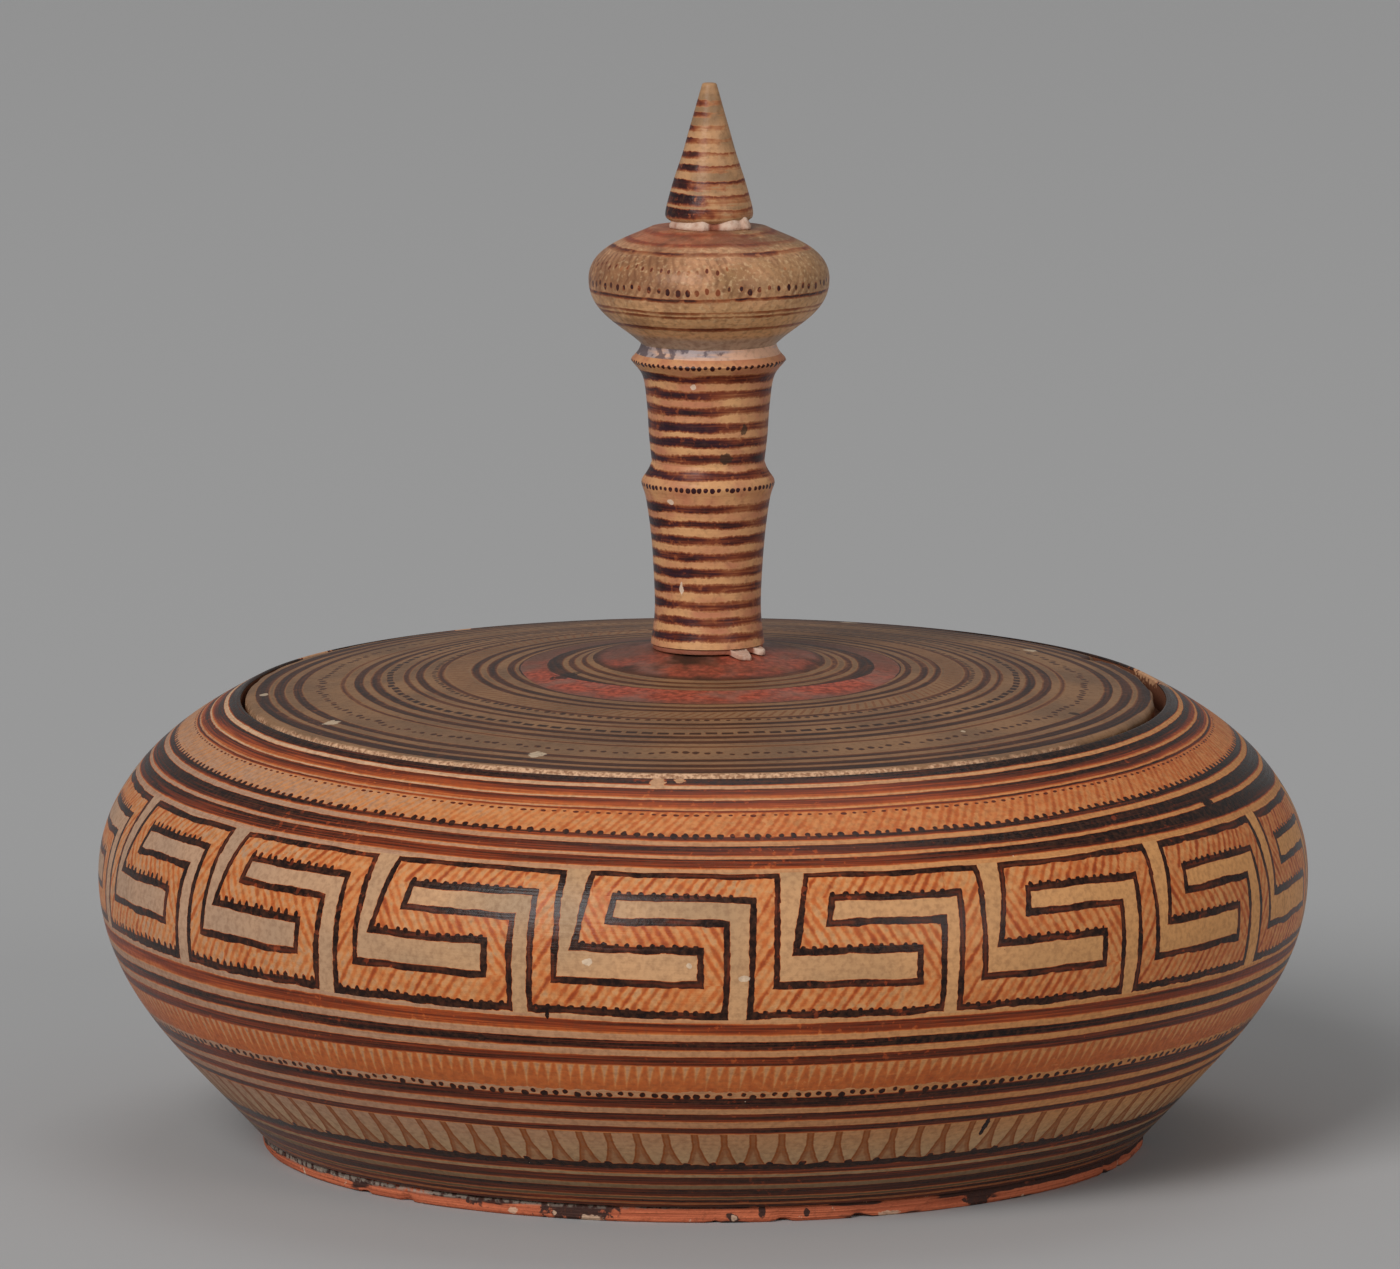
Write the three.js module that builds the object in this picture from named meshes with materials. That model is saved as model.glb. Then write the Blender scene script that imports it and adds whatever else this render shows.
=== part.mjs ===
// A squat, lidded clay box (pyxis) with a low ring foot and a lid with a tall turned knob.
// Millimetres, +Z up, origin under the middle of the foot, on the surface that the box stands on.
import * as THREE from "three";

// Driving dimensions of the vessel
const footRadius = 95.1;
const footHeight = 3.4;
const footWidth = 11;
const footCorner = 0.8;
const wallFootRadius = 95.8;
const bellyRadius = 130;
const bellyHeight = 58.5;
const rimRadius = 99.6;
const rimHeight = 96.9;
const wall = 6.5;
const floorThickness = 6.5;
const baseRecess = 1.9;
const rimRounding = 0.5;

// Driving dimensions of the lid
const lidSlope = 0.1065; // rise of the low cone for each millimetre inwards
const lidThickness = 6;
const lidEdgeRounding = 1.4;
const lidRoom = 1.3; // clearance round the lid in its seat
const ledgeWidth = 9;
const ledgeThickness = 5.5;
const flangeWidth = 4.6;
const flangeDepth = 7;
const flangeRoom = 1.6; // clearance between the flange and the ledge
const ventRadius = 5;
const bossHeight = 1.9; // of the clay drawn up round the foot of the knob
const bossFlare = 11; // how far that clay spreads

// Driving dimensions of the knob, from its foot up
const stemFootRadius = 12.2;
const stemWaistRadius = 11.4;
const midCollarRadius = 14.3;
const lowerStemHeight = 38.9;
const midCollarBelow = 4.5; // of the mid collar's edge below the top of the lower stem
const upperWaistRadius = 12.1;
const upperStemHeight = 25;
const topCollarRadius = 16.6;
const topCollarBelow = 3.4; // of the top collar's edge below the top of the upper stem
const neckRadius = 14.5;
const stemBore = 6.5;
const bulbRadius = 25.7;
const bulbHeight = 24.7;
const bulbWidest = 13.7; // height of its widest place above its own foot
const bulbTopRadius = 12.5;
const bulbWall = 5; // above and below its hollow
const bulbHollowRadius = 12;
const finialRadius = 9.4;
const finialFootRadius = 8.8;
const finialFootHeight = 2.6;
const finialTipRadius = 1.7;
const finialHeight = 29.2;
const tenonRadius = 4;
const tenonLength = 5.5;
const tenonRoom = 0.5;
const stemFill = 0.9; // thickness of the plaster under the stem
const finialFill = 1; // thickness of the plaster under the finial

const seam = 0.3; // between pieces that are stuck or that rest on each other
const vesselSides = 64;
const stemSides = 36;
const finialSides = 24;

// Heights that follow from them
const bowlFootHeight = footHeight + seam;
const floorHeight = bowlFootHeight + baseRecess + floorThickness;
const mouthRadius = rimRadius - rimRounding;
const lidRadius = mouthRadius - lidRoom;
const slopeAngle = THREE.MathUtils.radToDeg(Math.atan(lidSlope));
const ledgeHeight = rimHeight - lidThickness - seam;
const ledgeRadius = mouthRadius - ledgeWidth;
const lidUnderside = ledgeHeight + seam;
const lidTopAt = (radius) => rimHeight + lidSlope * (lidRadius - radius);
const lidUnderAt = (radius) => lidTopAt(radius) - lidThickness;
const flangeOuter = ledgeRadius - flangeRoom;
const flangeInner = flangeOuter - flangeWidth;
const stemFillHeight = lidTopAt(stemFootRadius) + bossHeight - stemFill - seam;
const bossTop = stemFillHeight - seam;
const lowerStemFoot = stemFillHeight + stemFill + seam;
const upperStemFoot = lowerStemFoot + lowerStemHeight + seam;
const bulbFoot = upperStemFoot + upperStemHeight + seam;
const finialFillHeight = bulbFoot + bulbHeight + seam;
const finialFoot = finialFillHeight + finialFill + seam;

const point = (radius, height) => new THREE.Vector2(radius, height);

// A cubic curve's points, from one outline point to the next.
function curve(start, leave, arrive, end, steps) {
  return new THREE.CubicBezierCurve(start, leave, arrive, end).getPoints(steps);
}

// A smooth outline through a few points of a turned stem.
function through(points, steps) {
  return new THREE.SplineCurve(points).getPoints(steps);
}

// The quarter round of a corner, from one angle to the next, in degrees from the outward way.
function round(radius, height, size, from, to, steps = 3) {
  const corner = [];
  for (let i = 0; i <= steps; i += 1) {
    const angle = THREE.MathUtils.degToRad(from + ((to - from) * i) / steps);
    corner.push(point(radius + size * Math.cos(angle), height + size * Math.sin(angle)));
  }
  return corner;
}

// The outline moved inwards by the wall's thickness.
function inset(outline, thickness) {
  return outline.map((here, i) => {
    const before = outline[Math.max(i - 1, 0)];
    const after = outline[Math.min(i + 1, outline.length - 1)];
    const along = after.clone().sub(before).normalize();
    return point(here.x - along.y * thickness, here.y + along.x * thickness);
  });
}

// A piece thrown on the wheel: the outline runs anticlockwise, with the axis on its left.
function turned(name, outline, sides, material) {
  const geometry = new THREE.LatheGeometry(outline, sides);
  geometry.rotateX(Math.PI / 2);
  const mesh = new THREE.Mesh(geometry, material);
  mesh.name = name;
  return mesh;
}

function clay(colour, roughness) {
  return new THREE.MeshStandardMaterial({ color: colour, roughness, metalness: 0 });
}

// The bowl: thrown in one, with an inturned shoulder and a ledge inside its mouth for the lid.
function makeBowl() {
  const foot = point(wallFootRadius, bowlFootHeight);
  const belly = point(bellyRadius, bellyHeight);
  const rim = point(rimRadius, rimHeight - rimRounding);
  const below = bellyHeight - bowlFootHeight;
  const above = rimHeight - bellyHeight;
  const spread = bellyRadius - wallFootRadius;
  const lower = curve(
    foot,
    point(wallFootRadius + 0.43 * spread, bowlFootHeight + 0.3 * below),
    point(bellyRadius, bellyHeight - 0.425 * below),
    belly,
    11,
  );
  const upper = curve(
    belly,
    point(bellyRadius, bellyHeight + 0.49 * above),
    point(rimRadius + 0.53 * (bellyRadius - rimRadius), rimHeight - 0.23 * above),
    rim,
    9,
  );
  const outside = [...lower, ...upper.slice(1)];
  const shoulder = ledgeHeight - ledgeThickness;
  const inside = inset(outside, wall)
    .filter((p) => p.y > floorHeight + wall / 2 && p.y < shoulder)
    .reverse();
  const footInner = footRadius - footWidth;
  return turned(
    "bowl",
    [
      point(0, bowlFootHeight + baseRecess),
      point(footInner - baseRecess, bowlFootHeight + baseRecess),
      point(footInner, bowlFootHeight),
      ...outside,
      point(rimRadius - rimRounding / 2, rimHeight - rimRounding / 4),
      point(mouthRadius, rimHeight - rimRounding),
      point(mouthRadius, ledgeHeight),
      point(ledgeRadius, ledgeHeight),
      point(ledgeRadius, shoulder),
      ...inside,
      point(inside.at(-1).x - 1.6 * wall, floorHeight),
      point(0, floorHeight),
    ],
    vesselSides,
    clay(0xb08a62, 0.5),
  );
}

// The foot: a low ring of clay luted under the bowl, its edge bare of paint.
function makeFootRing() {
  const inner = footRadius - footWidth;
  return turned(
    "foot_ring",
    [
      point(inner + footCorner, 0),
      ...round(footRadius - footCorner, footCorner, footCorner, -90, 0),
      point(footRadius, footHeight - footCorner),
      point(footRadius - footCorner, footHeight),
      point(inner, footHeight),
      point(inner, footCorner),
      point(inner + footCorner, 0),
    ],
    vesselSides,
    clay(0xb5623f, 0.8),
  );
}

// The lid's disc: a low cone that sits in the mouth, with clay drawn up round the knob's foot.
function makeLidPlate() {
  const flareFoot = stemFootRadius + bossFlare;
  const edge = lidRadius - lidEdgeRounding;
  return turned(
    "lid_plate",
    [
      point(ventRadius, lidUnderAt(flareFoot)),
      point(flangeInner, lidUnderside + lidSlope * (lidRadius - flangeInner) * 0.5),
      point(flangeInner + flangeWidth / 2, lidUnderside),
      point(lidRadius - seam, lidUnderside),
      point(lidRadius, lidUnderside + seam),
      ...round(edge, rimHeight - lidEdgeRounding, lidEdgeRounding, 0, 90 - slopeAngle, 4),
      point((edge + flareFoot) / 2, lidTopAt((edge + flareFoot) / 2)),
      ...curve(
        point(flareFoot, lidTopAt(flareFoot)),
        point(stemFootRadius + 0.5 * bossFlare, lidTopAt(stemFootRadius + 0.5 * bossFlare)),
        point(stemFootRadius + 0.16 * bossFlare, bossTop - 0.3 * bossHeight),
        point(stemFootRadius, bossTop),
        4,
      ),
      point(ventRadius, bossTop),
      point(ventRadius, lidUnderAt(flareFoot)),
    ],
    vesselSides,
    clay(0x7d6958, 0.55),
  );
}

// The flange: a ring luted under the disc, which keeps the lid in the middle of the mouth.
function makeLidFlange() {
  const top = lidUnderside - seam;
  const edge = flangeWidth / 4;
  return turned(
    "lid_flange",
    [
      point(flangeInner, top - flangeDepth + edge),
      point(flangeInner + edge, top - flangeDepth),
      point(flangeOuter - edge, top - flangeDepth),
      point(flangeOuter, top - flangeDepth + edge),
      point(flangeOuter, top),
      point(flangeInner, top),
      point(flangeInner, top - flangeDepth + edge),
    ],
    vesselSides,
    clay(0xa9825c, 0.8),
  );
}

// Plaster of an old repair between two pieces, a thin washer.
function makeFill(name, innerRadius, outerRadius, height, thickness) {
  return turned(
    name,
    [
      point(innerRadius, height),
      point(outerRadius, height),
      point(outerRadius, height + thickness),
      point(innerRadius, height + thickness),
      point(innerRadius, height),
    ],
    finialSides,
    clay(0xd8c6b2, 0.9),
  );
}

// The knob's lower stem: thrown hollow, swelling up to the mid collar.
function makeLowerStem() {
  const foot = lowerStemFoot;
  const top = foot + lowerStemHeight;
  const collar = top - midCollarBelow;
  return turned(
    "lower_stem",
    [
      point(stemBore, foot),
      ...through(
        [
          point(stemFootRadius, foot),
          point(stemWaistRadius, foot + 0.2 * lowerStemHeight),
          point(stemWaistRadius + 0.2 * (midCollarRadius - stemWaistRadius), collar - 14),
          point(midCollarRadius - 1.1, collar - 4),
          point(midCollarRadius, collar),
        ],
        11,
      ),
      point(midCollarRadius - 0.4, collar + 1.3),
      point(upperWaistRadius + 0.3, top - 0.6),
      point(upperWaistRadius, top),
      point(stemBore, top),
      point(stemBore, foot),
    ],
    stemSides,
    clay(0xa97a50, 0.45),
  );
}

// The knob's upper stem: it swells again from the mid collar up to the sharp top collar.
function makeUpperStem() {
  const foot = upperStemFoot;
  const top = foot + upperStemHeight;
  const collar = top - topCollarBelow;
  return turned(
    "upper_stem",
    [
      point(stemBore, foot),
      ...through(
        [
          point(upperWaistRadius, foot),
          point(upperWaistRadius + 0.6, foot + 0.22 * upperStemHeight),
          point(upperWaistRadius + 1, collar - 9.5),
          point(topCollarRadius - 2.6, collar - 3.6),
          point(topCollarRadius - 0.4, collar - 0.5),
        ],
        10,
      ),
      point(topCollarRadius, collar),
      point(topCollarRadius - 0.2, collar + 0.5),
      point(neckRadius + 0.3, top - 0.6),
      point(neckRadius, top),
      point(stemBore, top),
      point(stemBore, foot),
    ],
    stemSides,
    clay(0xa97a50, 0.45),
  );
}

// The bulb: thrown hollow and open at both ends, on the neck of the stem.
function makeBulb() {
  const foot = bulbFoot;
  const top = foot + bulbHeight;
  const widest = point(bulbRadius, foot + bulbWidest);
  const spread = bulbRadius - neckRadius;
  const under = curve(
    point(neckRadius, foot),
    point(neckRadius + 0.36 * spread, foot + 0.29 * bulbWidest),
    point(bulbRadius, foot + 0.47 * bulbWidest),
    widest,
    8,
  );
  const over = curve(
    widest,
    point(bulbRadius, foot + bulbWidest + 0.61 * (bulbHeight - bulbWidest)),
    point(bulbTopRadius + 0.39 * (bulbRadius - bulbTopRadius), top - 2.5),
    point(bulbTopRadius, top),
    8,
  );
  const mouth = tenonRadius + tenonRoom;
  const hollow = through(
    [
      point(mouth, top - bulbWall),
      point(bulbHollowRadius - 1, foot + bulbWidest + 3),
      point(bulbHollowRadius, foot + bulbWidest - 2),
      point(stemBore, foot + bulbWall),
    ],
    8,
  );
  return turned(
    "knob_bulb",
    [
      point(stemBore, foot),
      ...under,
      ...over.slice(1),
      point(mouth, top),
      ...hollow,
      point(stemBore, foot),
    ],
    stemSides,
    clay(0xa98058, 0.5),
  );
}

// The finial: a pointed cone, its tenon let into the bulb.
function makeFinial() {
  const foot = finialFoot;
  const top = foot + finialHeight;
  return turned(
    "finial_cone",
    [
      point(0, foot - tenonLength),
      point(tenonRadius, foot - tenonLength),
      point(tenonRadius, foot),
      point(finialFootRadius, foot),
      point(finialRadius, foot + finialFootHeight),
      point(finialRadius * 0.57, foot + finialFootHeight + 0.5 * (finialHeight - finialFootHeight)),
      point(finialTipRadius, top - finialTipRadius * 0.4),
      point(finialTipRadius * 0.7, top),
      point(0, top),
    ],
    finialSides,
    clay(0xa97a50, 0.5),
  );
}

const vessel = new THREE.Group();
vessel.name = "vessel";
vessel.add(makeBowl(), makeFootRing());

const lid = new THREE.Group();
lid.name = "lid";
lid.add(
  makeLidPlate(),
  makeLidFlange(),
  makeFill("stem_fill", stemBore, stemFootRadius, stemFillHeight, stemFill),
  makeLowerStem(),
  makeUpperStem(),
  makeBulb(),
  makeFill("finial_fill", tenonRadius + tenonRoom, finialFootRadius, finialFillHeight, finialFill),
  makeFinial(),
);

const pyxis = new THREE.Group();
pyxis.name = "pyxis";
pyxis.add(vessel, lid);

export default pyxis;
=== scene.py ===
# A squat clay box (pyxis) with an inturned shoulder, a low ring foot and a lid with a tall knob.
# Outlines are in millimetres, meshes in metres, and the front of the box faces -Y.
import math

import bmesh
import bpy
from mathutils import Color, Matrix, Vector, noise
from mathutils.geometry import interpolate_bezier


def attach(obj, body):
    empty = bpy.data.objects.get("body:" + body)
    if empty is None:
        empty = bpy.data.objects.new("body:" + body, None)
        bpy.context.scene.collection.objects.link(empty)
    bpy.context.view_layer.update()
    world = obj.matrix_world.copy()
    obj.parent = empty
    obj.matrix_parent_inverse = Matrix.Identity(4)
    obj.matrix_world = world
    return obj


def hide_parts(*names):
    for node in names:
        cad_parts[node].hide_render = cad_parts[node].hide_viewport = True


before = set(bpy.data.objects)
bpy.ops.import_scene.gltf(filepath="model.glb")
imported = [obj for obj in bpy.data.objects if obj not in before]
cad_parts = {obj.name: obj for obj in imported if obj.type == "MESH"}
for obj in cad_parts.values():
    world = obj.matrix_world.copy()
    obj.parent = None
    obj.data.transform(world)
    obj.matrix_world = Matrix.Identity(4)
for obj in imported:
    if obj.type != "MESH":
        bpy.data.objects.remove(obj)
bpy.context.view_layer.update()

# The bowl: thrown in one piece of orange clay, its shoulder turned inwards to a mouth with a
# ledge for the lid. The outside has a thin pale slip, and its rings, bands and key pattern are
# painted in dark slip, the rings while it turned on the wheel and the rest by hand.
MM = 0.001
seam = 0.3
foot_radius = 95.1
foot_height = 3.4
foot_width = 11
bowl_foot_radius = 95.8
bowl_foot_height = foot_height + seam / 2
base_recess = 1.9
belly_radius = 130
belly_height = 58.5
rim_radius = 99.6
rim_height = 96.9
lip_rounding = 0.5
mouth_radius = rim_radius - lip_rounding
wall = 6.5
floor_height = foot_height + seam + base_recess + wall
lid_thickness = 6
ledge_height = rim_height - lid_thickness - seam
ledge_width = 9
ledge_radius = mouth_radius - ledge_width
ledge_thickness = 5.5
ledge_rounding = 0.7
shoulder_height = ledge_height - ledge_thickness
mouth_lean = math.tan(math.radians(1.5))  # the mouth and lid lean towards the front
lean_starts = 74
lean_full = 90


def curve(start, leave, arrive, end, steps):
    """The points of a smooth stretch of an outline."""
    knots = [Vector(knot) for knot in (start, leave, arrive, end)]
    return [tuple(point) for point in interpolate_bezier(*knots, steps + 1)]


def corner(radius, height, size, first, last, steps=4):
    """The points of a rounded corner, from one angle to the next, in degrees from outwards."""
    turns = [math.radians(first + (last - first) * i / steps) for i in range(steps + 1)]
    return [(radius + size * math.cos(a), height + size * math.sin(a)) for a in turns]


def stretch(start, end, steps):
    """Evenly spaced points of a straight stretch, without its last one."""
    shares = [i / steps for i in range(steps)]
    return [tuple(a + (b - a) * share for a, b in zip(start, end)) for share in shares]


def laid_out(*parts):
    """The points of an outline, where a number between two of them puts in so many even steps."""
    outline = []
    for i, part in enumerate(parts):
        outline += stretch(parts[i - 1], parts[i + 1], part)[1:] if isinstance(part, int) else [part]
    return outline


def inset(outline, thickness):
    """The outline moved in by the wall's thickness."""
    moved = []
    for i, (radius, height) in enumerate(outline):
        before = outline[max(i - 1, 0)]
        after = outline[min(i + 1, len(outline) - 1)]
        reach = math.dist(before, after)
        out = (after[1] - before[1]) / reach
        up = (before[0] - after[0]) / reach
        moved.append((radius - out * thickness, height - up * thickness))
    return moved


def eased(low, high, value):
    """0 below low, 1 above high, and a smooth rise between."""
    share = min(max((value - low) / (high - low), 0), 1)
    return share * share * (3 - 2 * share)


def thrown(outline, steps, start=0):
    """An outline of (radius, height) points spun once round the axis, as on the wheel.
    Each vertex keeps how far along the outline it is from the point numbered start."""
    shape = bmesh.new()
    along = shape.verts.layers.float.new("along")
    ways = [0.0]
    for here, after in zip(outline, outline[1:]):
        ways.append(ways[-1] + math.dist(here, after))
    profile = []
    for (radius, height), way in zip(outline, ways):
        vertex = shape.verts.new((radius * MM, 0, height * MM))
        vertex[along] = way - ways[start]
        profile.append(vertex)
    edges = [shape.edges.new(pair) for pair in zip(profile, profile[1:])]
    bmesh.ops.spin(
        shape, geom=profile + edges, axis=(0, 0, 1), angle=2 * math.pi, steps=steps, use_merge=True
    )
    bmesh.ops.remove_doubles(shape, verts=shape.verts, dist=1e-7)
    bmesh.ops.recalc_face_normals(shape, faces=shape.faces)
    return shape


def points(shape):
    """Each vertex of a shape, its place in millimetres and how far it is from the axis."""
    for vertex in shape.verts:
        x, y, z = vertex.co / MM
        yield vertex, x, y, z, math.hypot(x, y)


def leaned(y, z):
    """The height of a point once the handmade mouth and lid lean."""
    return z + mouth_lean * y * eased(lean_starts, lean_full, z)


def away_from(where, width, x, y):
    """How far round a point is from a place in degrees from the right, in so many degrees."""
    return abs((math.degrees(math.atan2(y, x)) - where + 180) % 360 - 180) / width


def uneven(x, y, z, size):
    """Soft unevenness of handmade clay, from 0 to 1, its swells of this size in millimetres."""
    return 0.5 + 0.5 * noise.noise(Vector((x, y, z)) / size)


def placed(name, data):
    """A new object in the scene."""
    made = bpy.data.objects.new(name, data)
    bpy.context.scene.collection.objects.link(made)
    return made


def finished(name, shape, body, material):
    """Makes the finished piece: it rides on its body and stands for the node of the same name."""
    sharp = math.radians(40)
    for face in shape.faces:
        face.smooth = True
    for edge in shape.edges:
        edge.smooth = edge.calc_face_angle(0) < sharp
    mesh = bpy.data.meshes.new(name + "_clay")
    shape.to_mesh(mesh)
    shape.free()
    mesh.materials.append(material)
    made = placed(name + "_made", mesh)
    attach(made, body)
    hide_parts(name)


def sums(operation):
    """A method that adds the Math node for one kind of sum."""
    settings = {"operation": operation}
    return lambda level, *others: level.finish.node("Math", settings, dict(enumerate((level, *others))))


class Level:
    """One number that changes over a surface. It takes part in sums as a number does."""

    __add__ = __radd__ = sums("ADD")
    __sub__ = sums("SUBTRACT")
    __mul__ = __rmul__ = sums("MULTIPLY")
    __truediv__ = sums("DIVIDE")
    __pow__ = sums("POWER")
    __lt__ = sums("LESS_THAN")
    __gt__ = sums("GREATER_THAN")
    __abs__ = sums("ABSOLUTE")
    least = sums("MINIMUM")
    most = sums("MAXIMUM")
    whole = sums("FLOOR")
    share = sums("FRACT")
    bearing = sums("ARCTAN2")

    def __init__(self, finish, socket):
        self.finish = finish
        self.socket = socket

    def __rsub__(self, other):
        return self.finish.node("Math", {"operation": "SUBTRACT"}, {0: other, 1: self})

    def coated(self, amount, red, green, blue):
        """This colour with another, as a screen shows it, laid over it by this amount."""
        return self.finish.blend(amount, self, tint(red, green, blue))

    def part(self, name):
        """Another output of the node that this number comes from."""
        return Level(self.finish, self.socket.node.outputs[name])

    def rise(self, low, high):
        """0 where this is below low, 1 above high, and a smooth rise between."""
        limits = {"Value": self, "From Min": low, "From Max": high}
        return self.finish.node("MapRange", {"interpolation_type": "SMOOTHSTEP"}, limits)


def tint(red, green, blue):
    """A colour given as a screen shows it, from 0 to 255."""
    return (*Color((red / 255, green / 255, blue / 255)).from_srgb_to_scene_linear(), 1)


class Finish:
    """The surface of a fired piece, as shader nodes: where a point is, its paint and its wear."""

    def __init__(self, name, reach):
        self.material = bpy.data.materials.new(name)
        self.material.use_nodes = True
        self.tree = self.material.node_tree
        self.shader = self.tree.nodes["Principled BSDF"]
        self.reach = reach
        self.place = self.node("TexCoord", output="Object")
        x = self.node("SeparateXYZ", inputs={0: self.place})
        self.x = x * 1000
        self.y = x.part("Y") * 1000
        self.z = x.part("Z") * 1000
        self.radius = (self.x * self.x + self.y * self.y) ** 0.5
        self.turn = self.x.bearing(self.y * -1) / (2 * math.pi)
        self.along = self.node("Attribute", {"attribute_name": "along"}, output="Fac")

    def node(self, kind, settings=None, inputs=None, output=0):
        """Adds one node, its settings first and then its sockets' values or links."""
        made = self.tree.nodes.new("ShaderNode" + kind)
        holder = made
        if kind == "ValToRGB":
            holder = made.color_ramp
            holder.elements.remove(holder.elements[-1])
        for name, value in (settings or {}).items():
            if name == "stops":
                for i, (position, colour) in enumerate(value):
                    stop = holder.elements[0] if i == 0 else holder.elements.new(position)
                    stop.position = position
                    stop.color = colour if isinstance(colour, tuple) else (colour, colour, colour, 1)
            else:
                setattr(holder, name, value)
        for name, value in (inputs or {}).items():
            self.feed(made.inputs[name], value)
        return Level(self, made.outputs[output])

    def feed(self, socket, value):
        if isinstance(value, Level):
            self.tree.links.new(value.socket, socket)
        else:
            socket.default_value = value

    def mottle(self, size, detail):
        """Noise about 0.5, its grains of this size in millimetres."""
        inputs = {"Vector": self.place, "Scale": 1000 / size, "Detail": detail}
        return self.node("TexNoise", inputs=inputs)

    def drift(self, size, detail, amount):
        """Noise about 0, half this amount to both sides at most."""
        return (self.mottle(size, detail) - 0.5) * amount

    def mottled(self, size, under, over):
        """Two colours that run into each other in patches of this size in millimetres."""
        return self.blend(self.mottle(size, 3).rise(0.35, 0.65), tint(*under), tint(*over))

    def streaks(self, length, width, detail):
        """Noise about 0.5 drawn out along the wheel's turn, its marks so long and wide."""
        across = self.x / self.radius * (self.reach / length)
        deep = self.y / self.radius * (self.reach / length)
        at = self.node("CombineXYZ", inputs={0: across, 1: deep, 2: self.along / width})
        return self.node("TexNoise", inputs={"Vector": at, "Scale": 1, "Detail": detail})

    def chance(self, number):
        """A steady random share for each whole number."""
        return self.node("TexWhiteNoise", {"noise_dimensions": "1D"}, {"W": number}, "Value")

    def rings(self, way, low, high, painted):
        """How thick the slip lies over a run of rings. Each is painted from, to, and so thick at
        its lower and at its upper edge."""
        crisp = 0.12
        faded = 0.3
        most_rings = 7
        laid = None
        for first in range(0, len(painted), most_rings):
            stops = []
            for start, end, lower, upper in painted[first : first + most_rings]:
                edges = [(start - faded, 0), (start + faded, lower), (end - crisp, upper), (end + crisp, 0)]
                stops += [((at - low) / (high - low), thickness) for at, thickness in edges]
            run = self.node("ValToRGB", {"stops": stops}, {0: (way - low) / (high - low)})
            laid = laid.most(run) if laid else run
        return laid

    def dots(self, count, way, size, pitch, stray=0.4, wide=1.0, tall=1.0):
        """A row of dabbed dots round the piece, 1 inside a dot; pitch is their spacing."""
        step = self.turn * count
        luck = self.chance(step.whole())
        aside = self.chance(step.whole() + 0.5) * 0.3 - 0.15
        across = (step.share() - 0.5 + aside) * (pitch / wide)
        up = (way - (luck - 0.5) * stray) / tall
        ragged = self.drift(1.1, 1, 0.8 * size)
        reach = (across * across + up * up) ** 0.5 + luck * (0.35 * size) + ragged
        return 1 - reach.rise(0.8 * size, 1.15 * size)

    def marks(self, way, places):
        """Flaws or stray dabs, 1 inside one. Each is so many degrees right of the front, runs from
        low to high and is so wide."""
        marked = None
        for degrees, low, high, width in places:
            aside = (self.turn * 360 - degrees) * (math.radians(1) * self.reach * 2 / width)
            up = (way - (low + high) / 2) * (2 / (high - low))
            reach = (aside * aside + up * up) ** 0.5 + self.drift(1.3, 3, 1.7)
            mark = 1 - reach.rise(0.8, 1.0)
            marked = marked.most(mark) if marked else mark
        return marked

    def specks(self, spacing, size, share):
        """Small scattered specks, 1 inside one; share is how many of the places have one."""
        near = self.node("TexVoronoi", inputs={"Vector": self.place, "Scale": 1000 / spacing})
        luck = self.node("SeparateColor", inputs={0: near.part("Color")})
        scant = (luck < 1 - share) * 9
        reach = near * spacing + self.mottle(size, 1) * size + scant
        return 1 - (reach + luck.part("Green") * size).rise(size, 1.4 * size)

    def blend(self, amount, under, over):
        """The second colour laid over the first by this amount."""
        colours = {0: amount, 6: under, 7: over}
        return self.node("Mix", {"data_type": "RGBA"}, colours, 2)

    def slip(self, thickness, ground, colours):
        """Slip over the ground, its colour taken from how thick it lies."""
        stops = [(share, tint(*colour)) for share, *colour in colours]
        painted = self.node("ValToRGB", {"stops": stops}, {0: thickness})
        return self.blend(thickness.rise(0.02, 0.14), ground, painted)

    def complete(self, colour, roughness, height, depth=0.12):
        """Feeds the shader; depth is the relief of the height in millimetres."""
        relief = {"Height": height, "Distance": depth * MM}
        self.feed(self.shader.inputs["Specular IOR Level"], 0.2)
        self.feed(self.shader.inputs["Base Color"], colour)
        self.feed(self.shader.inputs["Roughness"], roughness)
        self.feed(self.shader.inputs["Normal"], self.node("Bump", inputs=relief))
        return self.material


below = belly_height - bowl_foot_height
above = rim_height - belly_height
spread = belly_radius - bowl_foot_radius
inturn = belly_radius - rim_radius
lower_wall = curve(
    (bowl_foot_radius, bowl_foot_height),
    (bowl_foot_radius + 0.43 * spread, bowl_foot_height + 0.3 * below),
    (belly_radius, belly_height - 0.425 * below),
    (belly_radius, belly_height),
    46,
)
upper_wall = curve(
    (belly_radius, belly_height),
    (belly_radius, belly_height + 0.49 * above),
    (rim_radius + 0.53 * inturn, rim_height - 0.23 * above),
    (rim_radius, rim_height - lip_rounding),
    40,
)
outside = lower_wall + upper_wall[1:]
inside = [p for p in inset(outside, wall) if floor_height + wall / 2 < p[1] < shoulder_height]
inside = inside[::-2]
foot_inner = foot_radius - foot_width
underside = laid_out(
    (0, bowl_foot_height + base_recess),
    16,
    (foot_inner - 2, bowl_foot_height + base_recess),
    (foot_inner, bowl_foot_height),
    (foot_inner + foot_width / 2, bowl_foot_height),
)
floor_edge = (inside[-1][0] - 1.6 * wall, floor_height)
ledge_inner = ledge_radius + ledge_rounding
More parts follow.
